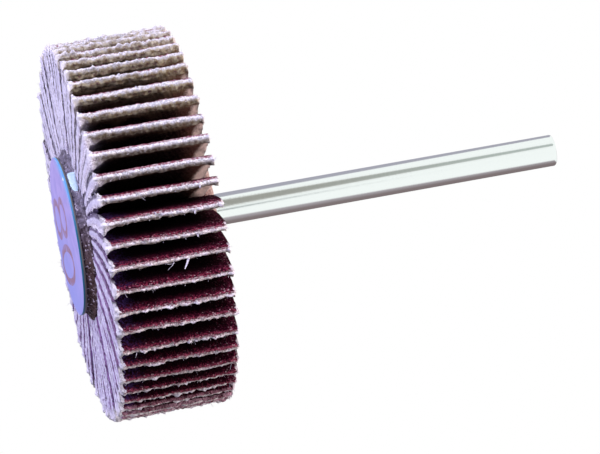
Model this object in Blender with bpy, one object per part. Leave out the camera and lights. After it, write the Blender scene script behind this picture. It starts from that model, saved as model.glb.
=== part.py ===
"""Flap wheel on a steel shank.

Sheets of abrasive cloth stand round a cast resin hub like the pages of a book bent into a ring. The wheel
stands on its label, with the shank pointing up along +Z. The origin is the centre of the label's face.
"""
import math
import random

import bmesh
import bpy
from mathutils import Vector

# Flaps
WHEEL_DIAMETER = 0.0375
WHEEL_WIDTH = 0.0115
FLAP_COUNT = 56
FLAP_THICKNESS = 0.00075
ROOT_GAP = 0.00005
TIP_SWEEP = math.radians(5.3)
SWEEP_POWER = 1.6
TIP_DRIFT = math.radians(2.0)
DRIFT_WAVES = 2
DRIFT_START = math.radians(106)
TIP_JITTER = math.radians(0.35)
CORNER_WEAR_LEAST = 0.0002
CORNER_WEAR_MOST = 0.0008
WEAR_SEED = 24418

# Hub
CLAMP_DEPTH = 0.0014
FRONT_FLANGE = 0.00095
REAR_FLANGE = 0.0010
FLANGE_RIM = 0.0002
LABEL_SEAT_INSET = 0.0001
REAR_EDGE_BREAK = 0.0003
MENISCUS_RISE = 0.0007
MENISCUS_REACH = 0.0012

# Label
LABEL_DIAMETER = 0.0158
LABEL_THICKNESS = 0.00035

# Shank
SHANK_DIAMETER = 0.003175
SHANK_EXPOSED = 0.0375
SHANK_SETBACK = 0.0008
SHANK_EDGE_BREAK = 0.00015
GROOVE_COUNT = 2
GROOVE_WIDTH = 0.0012
GROOVE_DEPTH = 0.00025

# Room between pieces that the resin joins
SEAT_CLEARANCE = 0.00005

# Fineness of the meshes
FLAP_SEGMENTS = 7
CORNER_SEGMENTS = 3
ARC_SEGMENTS = 6
HUB_SIDES = 72
SHANK_SIDES = 48
SHARP_ANGLE = math.radians(35)
MERGE_DISTANCE = 1e-7

# Places worked out from the sizes above
WHEEL_RADIUS = WHEEL_DIAMETER / 2
SHANK_RADIUS = SHANK_DIAMETER / 2
FLAP_PITCH = 2 * math.pi / FLAP_COUNT
ROOT_RADIUS = FLAP_COUNT * (FLAP_THICKNESS + ROOT_GAP) / (2 * math.pi)
CORE_RADIUS = ROOT_RADIUS - SEAT_CLEARANCE
FLANGE_RADIUS = ROOT_RADIUS + CLAMP_DEPTH
FRONT_SEAT = LABEL_THICKNESS + FRONT_FLANGE
FLAP_FRONT = FRONT_SEAT + SEAT_CLEARANCE
FLAP_REAR = FLAP_FRONT + WHEEL_WIDTH
REAR_SEAT = FLAP_REAR + SEAT_CLEARANCE
REAR_FACE = REAR_SEAT + REAR_FLANGE
SHANK_START = FLAP_FRONT + SHANK_SETBACK
SHANK_END = FLAP_REAR + SHANK_EXPOSED


def material(name, color, roughness, metallic=0.0):
    """A plain Principled material."""
    made = bpy.data.materials.new(name)
    made.use_nodes = True
    shader = made.node_tree.nodes["Principled BSDF"]
    shader.inputs["Base Color"].default_value = (*color, 1.0)
    shader.inputs["Roughness"].default_value = roughness
    shader.inputs["Metallic"].default_value = metallic
    return made


def add_object(name, bm, look, parent):
    """Turn a bmesh into a named object with smooth shading broken at its sharp edges."""
    bmesh.ops.recalc_face_normals(bm, faces=bm.faces)
    mesh = bpy.data.meshes.new(name)
    bm.to_mesh(mesh)
    bm.free()
    mesh.materials.append(look)
    mesh.shade_smooth()
    mesh.set_sharp_from_angle(angle=SHARP_ANGLE)
    made = bpy.data.objects.new(name, mesh)
    made.parent = parent
    bpy.context.scene.collection.objects.link(made)
    return made


def turned(outline, sides):
    """A solid turned about Z from (radius, height) points that begin and end on the axis."""
    bm = bmesh.new()
    points = [bm.verts.new((radius, 0.0, height)) for radius, height in outline]
    lines = [bm.edges.new(pair) for pair in zip(points, points[1:])]
    bmesh.ops.spin(
        bm,
        geom=points + lines,
        cent=(0.0, 0.0, 0.0),
        axis=(0.0, 0.0, 1.0),
        angle=2 * math.pi,
        steps=sides,
        use_merge=True,
    )
    bmesh.ops.remove_doubles(bm, verts=bm.verts, dist=MERGE_DISTANCE)
    return bm


def hollow_curve(radius_from, height_from, radius_to, height_to):
    """Points of a hollow quarter curve that leaves its start along the radius and ends upright."""
    points = []
    for step in range(ARC_SEGMENTS + 1):
        turn = math.pi / 2 * step / ARC_SEGMENTS
        radius = radius_from + (radius_to - radius_from) * math.sin(turn)
        height = height_to + (height_from - height_to) * math.cos(turn)
        points.append((radius, height))
    return points


def shank_side(room):
    """The side of the shank's buried end from top to bottom, made larger all round by some room."""
    side_radius = SHANK_RADIUS + room
    groove_radius = side_radius - GROOVE_DEPTH
    half_width = GROOVE_WIDTH / 2 - room
    buried = FLAP_REAR - SHANK_START
    points = []
    for index in range(GROOVE_COUNT):
        middle = FLAP_REAR - buried * (index + 1) / (GROOVE_COUNT + 1)
        points.append((side_radius, middle + half_width))
        points.append((groove_radius, middle + half_width))
        points.append((groove_radius, middle - half_width))
        points.append((side_radius, middle - half_width))
    points.append((side_radius, SHANK_START - room))
    points.append((0.0, SHANK_START - room))
    return points


def shank_solid():
    """The steel pin, with lock grooves on the end that the resin holds."""
    top = [
        (0.0, SHANK_END),
        (SHANK_RADIUS - SHANK_EDGE_BREAK, SHANK_END),
        (SHANK_RADIUS, SHANK_END - SHANK_EDGE_BREAK),
    ]
    return turned(top + shank_side(0.0), SHANK_SIDES)


def hub_solid():
    """The resin spool: a core behind the flap roots, a flange at each end and a blind bore."""
    bore_radius = SHANK_RADIUS + SEAT_CLEARANCE
    bore = shank_side(SEAT_CLEARANCE)[::-1]
    meniscus = hollow_curve(bore_radius + MENISCUS_REACH, REAR_FACE, bore_radius, REAR_FACE + MENISCUS_RISE)
    rear = [
        (FLANGE_RADIUS - REAR_EDGE_BREAK, REAR_FACE),
        (FLANGE_RADIUS, REAR_FACE - REAR_EDGE_BREAK),
        (FLANGE_RADIUS, REAR_SEAT),
        (CORE_RADIUS, REAR_SEAT),
        (CORE_RADIUS, FRONT_SEAT),
        (FLANGE_RADIUS, FRONT_SEAT),
    ]
    seat_radius = LABEL_DIAMETER / 2 - LABEL_SEAT_INSET
    fillet = hollow_curve(FLANGE_RADIUS, FRONT_SEAT - FLANGE_RIM, seat_radius, LABEL_THICKNESS)
    return turned(bore + meniscus[::-1] + rear + fillet + [(0.0, LABEL_THICKNESS)], HUB_SIDES)


def label_solid():
    """The round card glued on the front of the hub."""
    radius = LABEL_DIAMETER / 2
    outline = [(0.0, LABEL_THICKNESS), (radius, LABEL_THICKNESS), (radius, 0.0), (0.0, 0.0)]
    return turned(outline, HUB_SIDES)


def sheet_station(share, sweep):
    """A point of a flap's middle line and the line's direction there, from root (0) to tip (1)."""
    reach = WHEEL_RADIUS - ROOT_RADIUS
    radius = ROOT_RADIUS + reach * share
    angle = sweep * share ** SWEEP_POWER
    outward = Vector((math.cos(angle), math.sin(angle), 0.0))
    sideways = Vector((-math.sin(angle), math.cos(angle), 0.0))
    turn_rate = sweep * SWEEP_POWER * share ** (SWEEP_POWER - 1)
    direction = (outward * reach + sideways * radius * turn_rate).normalized()
    return outward * radius, direction


def ground_to_wheel(point, direction):
    """Slide a point along the flap until it lies on the wheel's round outside."""
    along = point.dot(direction)
    slide = math.sqrt(along ** 2 - point.length_squared + WHEEL_RADIUS ** 2) - along
    return point + direction * slide


def flap_solid(sweep, front_wear, rear_wear):
    """One bent sheet, its tip ground to the wheel's outside and the tip's two corners worn round."""
    bm = bmesh.new()
    rows = []
    for index in range(FLAP_SEGMENTS + 1):
        middle, direction = sheet_station(index / FLAP_SEGMENTS, sweep)
        across = Vector((-direction.y, direction.x, 0.0)) * FLAP_THICKNESS / 2
        sides = [middle - across, middle + across]
        if index == FLAP_SEGMENTS:
            sides = [ground_to_wheel(side, direction) for side in sides]
        rows.append([bm.verts.new(side) for side in sides])
    for near, far in zip(rows, rows[1:]):
        bm.faces.new((near[0], far[0], far[1], near[1]))
    front_corner = bm.edges.get(rows[-1])
    raised = bmesh.ops.extrude_face_region(bm, geom=list(bm.faces), use_keep_orig=True)["geom"]
    raised_points = [item for item in raised if isinstance(item, bmesh.types.BMVert)]
    bmesh.ops.translate(bm, verts=raised_points, vec=(0.0, 0.0, WHEEL_WIDTH))
    tip_points = sorted(raised_points, key=lambda vert: vert.co.length)[-2:]
    rear_corner = bm.edges.get(tip_points)
    for corner, wear in ((front_corner, front_wear), (rear_corner, rear_wear)):
        bmesh.ops.bevel(
            bm,
            geom=[corner],
            offset=wear,
            offset_type="OFFSET",
            segments=CORNER_SEGMENTS,
            profile=0.5,
            affect="EDGES",
        )
    return bm


def build():
    """Clear the scene and make every piece of the wheel."""
    for old in list(bpy.data.objects):
        bpy.data.objects.remove(old)

    steel = material("steel", (0.80, 0.81, 0.80), 0.18, 1.0)
    resin = material("resin", (0.075, 0.055, 0.055), 0.55)
    card = material("card", (0.45, 0.38, 0.90), 0.45)
    cloth = material("abrasive_cloth", (0.17, 0.09, 0.09), 0.85)

    wheel = bpy.data.objects.new("wheel", None)
    bpy.context.scene.collection.objects.link(wheel)
    add_object("shank", shank_solid(), steel, wheel)
    add_object("hub", hub_solid(), resin, wheel)
    add_object("label", label_solid(), card, wheel)

    wear = random.Random(WEAR_SEED)
    for index in range(FLAP_COUNT):
        root_angle = index * FLAP_PITCH
        drift = TIP_DRIFT * math.cos(DRIFT_WAVES * root_angle + DRIFT_START)
        sweep = TIP_SWEEP + drift + wear.uniform(-TIP_JITTER, TIP_JITTER)
        front_wear = wear.uniform(CORNER_WEAR_LEAST, CORNER_WEAR_MOST)
        rear_wear = wear.uniform(CORNER_WEAR_LEAST, CORNER_WEAR_MOST)
        solid = flap_solid(sweep, front_wear, rear_wear)
        flap = add_object(f"flap_{index + 1:02d}", solid, cloth, wheel)
        flap.location.z = FLAP_FRONT
        flap.rotation_euler.z = root_angle


build()
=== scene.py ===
import math

import bpy
import numpy as np
from mathutils import Matrix, Vector


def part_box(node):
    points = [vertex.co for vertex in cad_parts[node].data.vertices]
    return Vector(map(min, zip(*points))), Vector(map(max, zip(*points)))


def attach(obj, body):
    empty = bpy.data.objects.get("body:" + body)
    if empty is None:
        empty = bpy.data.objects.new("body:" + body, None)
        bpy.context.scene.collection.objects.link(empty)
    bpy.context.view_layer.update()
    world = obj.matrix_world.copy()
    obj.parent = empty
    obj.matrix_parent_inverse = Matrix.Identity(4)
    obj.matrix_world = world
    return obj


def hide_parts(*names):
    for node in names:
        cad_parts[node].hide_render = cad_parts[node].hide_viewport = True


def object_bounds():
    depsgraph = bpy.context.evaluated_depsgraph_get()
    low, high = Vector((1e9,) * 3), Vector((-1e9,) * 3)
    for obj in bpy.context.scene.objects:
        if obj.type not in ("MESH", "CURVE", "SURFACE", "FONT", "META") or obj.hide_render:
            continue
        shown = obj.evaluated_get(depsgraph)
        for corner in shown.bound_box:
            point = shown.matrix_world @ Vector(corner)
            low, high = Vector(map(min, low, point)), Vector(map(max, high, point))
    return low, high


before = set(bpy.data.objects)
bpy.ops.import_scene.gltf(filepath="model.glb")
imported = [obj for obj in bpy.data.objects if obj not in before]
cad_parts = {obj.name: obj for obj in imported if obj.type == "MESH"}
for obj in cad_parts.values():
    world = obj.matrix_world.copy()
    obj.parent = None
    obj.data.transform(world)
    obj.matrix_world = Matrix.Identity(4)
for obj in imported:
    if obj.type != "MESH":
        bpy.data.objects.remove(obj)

CAD_BOX = [list(corner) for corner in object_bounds()]
MM = 0.001
DEGREES = 180.0 / math.pi

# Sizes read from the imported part
FLAPS = sorted(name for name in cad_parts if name.startswith("flap_"))
FLAP_LOW, FLAP_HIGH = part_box("flap_01")
WHEEL_FRONT = FLAP_LOW[2]
WHEEL_REAR = FLAP_HIGH[2]
WHEEL_WIDTH = WHEEL_REAR - WHEEL_FRONT
WHEEL_MIDDLE = Vector((0.0, 0.0, (WHEEL_FRONT + WHEEL_REAR) / 2))
WHEEL_RADIUS = max(CAD_BOX[1][0], CAD_BOX[1][1])
LABEL_LOW, LABEL_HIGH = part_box("label")
SHANK_LOW, SHANK_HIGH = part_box("shank")
HUB_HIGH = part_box("hub")[1]
LABEL_RADIUS = LABEL_HIGH[0]
HUB_RADIUS = HUB_HIGH[0]
SHANK_RADIUS = SHANK_HIGH[0]
READ_SLACK = 0.02 * MM

# Camera, placed where the photograph was taken from: below the label and to its side
CAMERA_PLACE = Vector((0.003142, -0.327281, -0.039527))
CAMERA_TILT_UP = math.radians(10.859)
CAMERA_ROLL = math.radians(79.81)
CAMERA_LENS = 200.0
CAMERA_CLIP = (0.01, 10.0)

# Lamps: name, place, size, watts and colour
LAMPS = (
    ("window_lamp", (-0.22, -0.26, -0.40), 0.25, 3.0, (0.84, 0.82, 1.0)),
    ("room_lamp", (-0.32, -0.30, 0.28), 0.25, 2.0, (1.0, 0.96, 0.93)),
    ("rear_lamp", (0.16, -0.14, 0.46), 0.20, 2.2, (1.0, 0.93, 0.88)),
    ("back_lamp", (0.15, 0.50, 0.20), 0.40, 3.0, (1.0, 0.98, 0.97)),
)

# Light of the world on rough surfaces, from the +X side round to the -X side
AMBIENT_LOW = (0.16, 0.155, 0.165)
AMBIENT_HIGH = (0.46, 0.45, 0.48)

# Soft edges of the bands that the steel mirrors, in degrees round Z from -Y towards -X. They shift along the
# shank, at whose two ends the camera's rays rise by the angles of SHANK_LIFT. LINE_END is in shares of it
SHANK_LIFT = (9.0, 15.0)
CARD_START = (2.0, 8.0)
CARD_STOP = (71.0, 77.0)
CARD_SHIFT = 25.0
LINE_TURN = -11.5
LINE_SHIFT = 32.0
LINE_FADE = (2.5, 6.5)
LINE_END = (0.18, 0.42)
FAR_BAND = (91.0, 98.0)
FAR_SHIFT = 22.0
NEAR_BAND = (-74.0, -60.0)
NEAR_SHIFT = -14.0
UNDER_BAND = (-120.0, -72.0)

# Floor, grey near the wheel and white beyond the fade, which is in millimetres
FLOOR_SIZE = 3.0
FLOOR_HEIGHT = -0.0001
FLOOR_FADE = (50.0, 240.0)
FLOOR_COLOR = (0.86, 0.86, 0.86)
WHITE = (1.0, 1.0, 1.0)
BLACK = (0.0, 0.0, 0.0)
NOISE_ROUGHNESS = 0.55

# Meshes of the sheets of abrasive cloth. Levels run from -1 on the grit face to 1 on the backing
SHEET_ROWS = 35
ROWS_EVEN = 0.45
MIDDLE_COLUMNS = 57
CORNER_COLUMNS = 8
LAYER_LEVELS = (-1.0, -0.72, -0.45, -0.2, 0.1, 0.35, 0.6, 0.8, 1.0)
GRIT_LEVEL = -0.36
NOISE_CELLS = 64
FIRST_SEED = 1000
SEED_STEP = 20

# Shape of the sheets
SWEEP_POWER = 1.6
WORN_SHARE = 0.5
YARN_PITCH = 0.75 * MM
TIP_ROUND = 0.45 * MM
ROUND_START = 0.58
WAVE_HEIGHT = 0.09 * MM
WAVE_SIZE = (3.2 * MM, 4.0 * MM)
WAVE_LENGTH = 6.0 * MM
HELD_LENGTH = 1.4 * MM
FRONT_SETBACK = (-0.20 * MM, -0.02 * MM)
SETBACK_LENGTH = 3.0 * MM

# Share of the gap beside it that each face of a sheet's front end fills, near the camera and far from it
FRONT_SPLAY = (0.24, 0.50)
SPLAY_DEPTH = 0.33 * MM

# Heights of the frayed cut edge, in millimetres
FRAY_BULGE = 0.16
FRAY_SUNK = 0.12
FRAY_TUFTS = 0.14
FRAY_KNOB = 0.12
FRAY_LUMPS = 0.08
FRAY_YARN = 0.07
FRAY_LOOSE = 0.08
FRAY_FINE = 0.12

# Heights of the relief on the two faces of a sheet, in millimetres
BACK_PUFF = 0.03
BACK_SWELL = 0.05
BACK_CORNER = 0.12
GRIT_GRAINS = 0.045
GRIT_WORN = 0.05
GRIT_CORNER = 0.12

# Tufts and loose fibres of each sheet, in millimetres
TUFTS_PER_FLAP = 9
TUFT_HALF_WIDTH = (0.08, 0.26)
FIBRES_PER_FLAP = 44
FIBRE_LENGTH = (0.08, 0.26)
FIBRE_HALF_WIDTH = (0.016, 0.036)
FIBRE_STEPS = 5

# Frayed fronts in the photograph: how far each one swells, in millimetres, and the radius it starts from
FRAYED_FRONTS = {"flap_37": 0.25, "flap_38": 0.75, "flap_39": 0.55, "flap_40": 0.2, "flap_42": 0.35}
FRAYED_FROM = 9.5 * MM

# Loose threads in the photograph, in millimetres: flap, place along its tip, way outward, down and along,
# length, half width, curl
LOOSE_THREADS = (
    ("flap_44", 7.35, (0.30, 1.0, -0.30), 0.90, 0.105, (0.0, 0.3, -0.5)),
    ("flap_44", 5.90, (0.30, 0.7, 0.60), 0.62, 0.020, (-0.4, 1.2, -3.2)),
    ("flap_44", 5.20, (0.20, 0.9, 0.10), 0.75, 0.022, (-0.3, -1.4, 2.2)),
    ("flap_42", 4.95, (0.60, -0.8, 0.0), 0.20, 0.170, (0.0, 0.0, 0.0)),
    ("flap_41", 9.55, (0.20, 1.0, 0.1), 0.28, 0.130, (0.0, 0.3, 0.2)),
    ("flap_42", 8.65, (0.20, 1.0, -0.1), 0.30, 0.140, (0.0, 0.3, 0.2)),
    ("flap_43", 8.50, (0.20, 1.0, 0.1), 0.25, 0.130, (0.0, 0.3, 0.2)),
    ("flap_35", 4.80, (1.00, -0.4, 0.4), 0.25, 0.110, (0.2, 0.3, 0.6)),
    ("flap_36", 6.00, (1.00, -0.3, -0.3), 0.25, 0.120, (0.2, 0.3, 0.6)),
    ("flap_42", 11.3, (0.60, 0.2, 0.8), 0.40, 0.070, (0.0, 0.6, 0.0)),
    ("flap_42", 11.1, (0.70, 0.5, 0.5), 0.45, 0.050, (0.0, -0.8, 0.4)),
)

# Shank, hub and label
ROUND_SIDES = 180
SHANK_SIDES = 160
SHANK_EDGE = 0.15 * MM
LABEL_EDGE = 0.04 * MM
SEAT_CLEARANCE = 0.05 * MM
SEAT_INSET = 0.1 * MM
FLANGE_RIM = 0.2 * MM
REAR_FLANGE = 1.0 * MM
REAR_EDGE = 0.3 * MM
MENISCUS_REACH = 1.2 * MM
MENISCUS_RISE = 0.7 * MM
RESIN_LUMPS = (0.6 * MM, 0.3 * MM)
FILLET_ROUGH = (0.07 * MM, 0.04 * MM)
REAR_ROUGH = (0.05 * MM, 0.02 * MM)
SHARP_ANGLE = math.radians(40)

# Print on the label, in millimetres
DIGIT_STROKE = 0.75
DIGIT_HEIGHT = 9.0
DIGIT_WIDTH = 4.2
DIGIT_MIDDLES = (-1.9, 2.8)
DIGIT_RISE = 2.3

# Crumb of card, in millimetres: half its length, half its width and half its thickness
CRUMB_TURN = math.radians(233.0)
CRUMB_HALF = (1.2, 0.42, 0.16)
CRUMB_INSET = 0.15
CRUMB_RISE = 0.45
CRUMB_GRID = (14, 9)


def sheet_noise(x, y, seed):
    """Smooth noise between -1 and 1 over two arrays of places, one cell to a unit."""
    table = np.random.default_rng(seed).uniform(-1.0, 1.0, (NOISE_CELLS, NOISE_CELLS))
    left, low = np.floor(x).astype(int), np.floor(y).astype(int)
    across, up = x - left, y - low
    across = across * across * (3.0 - 2.0 * across)
    up = up * up * (3.0 - 2.0 * up)

    def corner(dx, dy):
        return table[(left + dx) % NOISE_CELLS, (low + dy) % NOISE_CELLS]

    bottom = corner(0, 0) * (1 - across) + corner(1, 0) * across
    top = corner(0, 1) * (1 - across) + corner(1, 1) * across
    return bottom * (1 - up) + top * up


class Value:
    """A socket that carries a number, a vector or a colour. Arithmetic on it adds Math nodes."""

    def __init__(self, nodes, socket):
        self.nodes = nodes
        self.socket = socket

    def math(self, operation, *others):
        return self.nodes.add("ShaderNodeMath", {"operation": operation}, dict(enumerate((self, *others))))

    def __add__(self, other):
        return self.math("ADD", other)

    def __mul__(self, other):
        return self.math("MULTIPLY", other)

    def __sub__(self, other):
        return self.math("SUBTRACT", other)

    def __rsub__(self, other):
        return (self * -1.0) + other

    def __truediv__(self, other):
        return self.math("DIVIDE", other)

    def __pow__(self, other):
        return self.math("POWER", other)

    __radd__ = __add__
    __rmul__ = __mul__

    def sine(self):
        return self.math("SINE")

    def size(self):
        return self.math("ABSOLUTE")

    def most(self, other):
        return self.math("MAXIMUM", other)

    def rise(self, low, high):
        """0 below low, 1 above high and a smooth step between them."""
        sockets = {"Value": self, "From Min": low, "From Max": high}
        return self.nodes.add("ShaderNodeMapRange", {"interpolation_type": "SMOOTHSTEP"}, sockets)


class Nodes:
    """A tree of shader nodes."""

    def __init__(self, tree):
        self.tree = tree

    def feed(self, place, item):
        """Link a value into a socket, or write a plain number or colour there."""
        if isinstance(item, Value):
            self.tree.links.new(item.socket, place)
        elif isinstance(item, tuple) and len(item) == 3 and place.type == "RGBA":
            place.default_value = (*item, 1.0)
        else:
            place.default_value = item

    def add(self, kind, settings, sockets, output=0):
        """Any node: its settings are set first, then its sockets are filled or linked."""
        node = self.tree.nodes.new(kind)
        for name, setting in settings.items():
            setattr(node, name, setting)
        for name, item in sockets.items():
            self.feed(node.inputs[name], item)
        return Value(self, node.outputs[output])

    def parts(self, item):
        """The three numbers of a vector."""
        first = self.add("ShaderNodeSeparateXYZ", {}, {0: item})
        return [Value(self, output) for output in first.socket.node.outputs]

    def vector(self, operation, first, second):
        return self.add("ShaderNodeVectorMath", {"operation": operation}, {0: first, 1: second})

    def mix(self, share, first, second):
        """A colour between two colours."""
        return self.add("ShaderNodeMix", {"data_type": "RGBA"}, {0: share, 6: first, 7: second}, 2)


class Finish(Nodes):
    """A material with its Principled shader. Places in it are in millimetres."""

    def __init__(self, name, **constants):
        self.material = bpy.data.materials.new(name)
        self.material.use_nodes = True
        super().__init__(self.material.node_tree)
        self.shader = self.tree.nodes["Principled BSDF"]
        for socket, number in constants.items():
            self.set(socket.replace("_", " ").title().replace("Ior", "IOR"), number)
        place = self.add("ShaderNodeTexCoord", {}, {}, "Object")
        self.place = self.vector("MULTIPLY", place, (1 / MM, 1 / MM, 1 / MM))
        self.x, self.y, self.z = self.parts(self.place)
        self.radius = (self.x * self.x + self.y * self.y).math("SQRT")

    def set(self, socket, item):
        self.feed(self.shader.inputs[socket], item)

    def noise(self, per_mm, detail=3.0, where=None):
        sockets = {"Vector": where or self.place, "Scale": per_mm}
        sockets |= {"Detail": detail, "Roughness": NOISE_ROUGHNESS}
        return self.add("ShaderNodeTexNoise", {}, sockets)

    def cells(self, per_mm):
        """How far a place lies from the middle of its grain."""
        return self.add("ShaderNodeTexVoronoi", {}, {"Vector": self.place, "Scale": per_mm}, "Distance")

    def cell_number(self, per_mm, channel=0):
        """A number for each grain, from its colour."""
        color = self.add("ShaderNodeTexVoronoi", {}, {"Vector": self.place, "Scale": per_mm}, "Color")
        return self.add("ShaderNodeSeparateColor", {}, {0: color}, channel)

    def attribute(self, name):
        return self.add("ShaderNodeAttribute", {"attribute_name": name}, {}, "Fac")

    def bump(self, height, depth_mm):
        """Let a height from 0 to 1 move the surface by a depth in millimetres, as shading."""
        self.set("Normal", self.add("ShaderNodeBump", {}, {"Height": height, "Distance": depth_mm * MM}))


def add_piece(name, points, faces, finish, node, attributes=None):
    """Make a smooth mesh piece that rides on the part and stands for one of its nodes."""
    mesh = bpy.data.meshes.new(name)
    mesh.from_pydata([tuple(point) for point in points], [], faces)
    for label, numbers in (attributes or {}).items():
        layer = mesh.attributes.new(label, "FLOAT", "POINT")
        layer.data.foreach_set("value", np.asarray(numbers, np.float32))
    mesh.materials.append(finish.material)
    mesh.shade_smooth()
    piece = bpy.data.objects.new(name, mesh)
    bpy.context.scene.collection.objects.link(piece)
    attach(piece, "root")
    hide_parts(node)
    return piece


def camera():
    """The photograph's view: a long lens, rolled so that the shank points to the right."""
    data = bpy.data.cameras.new("camera")
    data.lens = CAMERA_LENS
    data.clip_start, data.clip_end = CAMERA_CLIP
    eye = bpy.data.objects.new("camera", data)
    level = Matrix.Rotation(math.pi / 2 + CAMERA_TILT_UP, 4, "X")
    eye.matrix_world = Matrix.Translation(CAMERA_PLACE) @ level @ Matrix.Rotation(CAMERA_ROLL, 4, "Z")
    bpy.context.scene.collection.objects.link(eye)
    bpy.context.scene.camera = eye


def lamp(name, place, size, watts, color):
    """A soft square lamp that points at the middle of the wheel."""
    data = bpy.data.lights.new(name, "AREA")
    data.size = size
    data.energy = watts
    data.color = color
    made = bpy.data.objects.new(name, data)
    made.location = place
    made.visible_glossy = False
    made.rotation_euler = (WHEEL_MIDDLE - Vector(place)).to_track_quat("-Z", "Y").to_euler()
    bpy.context.scene.collection.objects.link(made)


def surroundings():
    """White all round for the camera, soft light for rough surfaces, and grey bands that steel mirrors."""
    world = bpy.data.worlds.new("studio")
    bpy.context.scene.world = world
    world.use_nodes = True
    nodes = Nodes(world.node_tree)
    east, north, up = nodes.parts(nodes.add("ShaderNodeTexCoord", {}, {}, "Generated"))

    turn = (east * -1.0).math("ARCTAN2", north * -1.0) * DEGREES
    lift = up.math("ARCSINE") * DEGREES
    along = ((lift - SHANK_LIFT[0]) / (SHANK_LIFT[1] - SHANK_LIFT[0])).most(0.0)

    def past(low, high, shift):
        """0 below a band of turns and 1 above it, once the band has shifted."""
        return turn.rise(low + shift, high + shift)

    narrowing = CARD_SHIFT * along ** 0.5
    bright_card = past(*CARD_START, narrowing) * (1.0 - past(*CARD_STOP, narrowing * -1.0))
    off_line = (turn - LINE_TURN - LINE_SHIFT * along).size()
    line = (1.0 - off_line.rise(*LINE_FADE)) * (1.0 - along.rise(*LINE_END))
    far_side = past(*FAR_BAND, FAR_SHIFT * along)
    near_side = 1.0 - past(*NEAR_BAND, NEAR_SHIFT * along)
    under = 1.0 - turn.rise(*UNDER_BAND)

    beside_card = nodes.mix(along.rise(0.2, 1.0), (0.345, 0.345, 0.315), (0.44, 0.50, 0.48))
    seen = nodes.mix(bright_card, (0.95, 1.0, 0.99), beside_card)
    seen = nodes.mix(line, seen, (0.20, 0.24, 0.25))
    seen = nodes.mix(far_side, seen, (0.40, 0.40, 0.47))
    seen = nodes.mix(near_side, seen, nodes.mix(under, (0.40, 0.37, 0.40), (0.22, 0.18, 0.185)))
    glossy = nodes.add("ShaderNodeLightPath", {}, {}, "Is Glossy Ray")
    straight = nodes.add("ShaderNodeLightPath", {}, {}, "Is Camera Ray")
    ambient = nodes.mix((east * -1.0).rise(-0.5, 0.9), AMBIENT_LOW, AMBIENT_HIGH)
    color = nodes.mix(glossy, ambient, seen)
    nodes.feed(nodes.tree.nodes["Background"].inputs["Color"], nodes.mix(straight, color, WHITE))


def floor():
    """A pale floor under the label. It lets the view from below through and casts no shade upwards."""
    finish = Finish("floor_paint", roughness=0.9, emission_strength=1.0)
    far = finish.radius.rise(*FLOOR_FADE)
    finish.set("Base Color", finish.mix(far, FLOOR_COLOR, BLACK))
    finish.set("Emission Color", finish.mix(far, BLACK, WHITE))
    below = finish.add("ShaderNodeNewGeometry", {}, {}, "Backfacing")
    paint = Value(finish, finish.shader.outputs[0])
    through = finish.add("ShaderNodeBsdfTransparent", {}, {})
    choice = finish.add("ShaderNodeMixShader", {}, {0: below, 1: paint, 2: through})
    finish.feed(finish.tree.nodes["Material Output"].inputs[0], choice)
    mesh = bpy.data.meshes.new("floor")
    half = FLOOR_SIZE / 2
    corners = [(x, y, FLOOR_HEIGHT) for x, y in ((-half, -half), (half, -half), (half, half), (-half, half))]
    mesh.from_pydata(corners, [], [(0, 1, 2, 3)])
    mesh.materials.append(finish.material)
    made = bpy.data.objects.new("floor", mesh)
    for ray in ("diffuse", "glossy", "shadow", "transmission"):
        setattr(made, "visible_" + ray, False)
    bpy.context.scene.collection.objects.link(made)


def read_flap(node):
    """Root angle, sweep, worn corners and thickness of a flap, from its solid."""
    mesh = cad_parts[node].data
    points = np.empty(len(mesh.vertices) * 3)
    mesh.vertices.foreach_get("co", points)
    points = points.reshape(-1, 3)
    radius, height = np.hypot(points[:, 0], points[:, 1]), points[:, 2]
    rough = Vector(points.mean(axis=0)[:2])
    middle = math.atan2(rough.y, rough.x)
    angle = (np.arctan2(points[:, 1], points[:, 0]) - middle + math.pi) % (2 * math.pi) - math.pi
    root = angle[radius < radius.min() + READ_SLACK]
    tip = angle[radius > radius.max() - READ_SLACK]
    front = radius[height < height.min() + READ_SLACK]
    rear = radius[height > height.max() - READ_SLACK]
    root_turn = (root.max() + root.min()) / 2
    half_spread = (root.max() - root.min()) / 2
    return {
        "root_angle": middle + root_turn,
        "sweep": (tip.max() + tip.min()) / 2 - root_turn,
        "front_wear": (radius.max() - front.max()) * WORN_SHARE,
        "rear_wear": (radius.max() - rear.max()) * WORN_SHARE,
        "thickness": 2 * radius.min() * math.sin(half_spread),
        "root_radius": radius.min() * math.cos(half_spread),
        "tip_radius": radius.max(),
    }


def column_places(front_wear, rear_wear):
    """Places across a flap from front to rear, close together round its worn corners.

    The second list says how far the tip has worn back at each place."""
    turns = np.linspace(0.0, math.pi / 2, CORNER_COLUMNS, endpoint=False)
    front = front_wear * (1 - np.cos(turns))
    rear = WHEEL_WIDTH - rear_wear * (1 - np.cos(turns))[::-1]
    middle = np.linspace(front_wear, WHEEL_WIDTH - rear_wear, MIDDLE_COLUMNS)
    front_drop = front_wear * (1 - np.sin(turns))
    rear_drop = (rear_wear * (1 - np.sin(turns)))[::-1]
    drop = np.concatenate([front_drop, np.zeros(MIDDLE_COLUMNS), rear_drop])
    return np.concatenate([front, middle, rear]), drop


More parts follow.
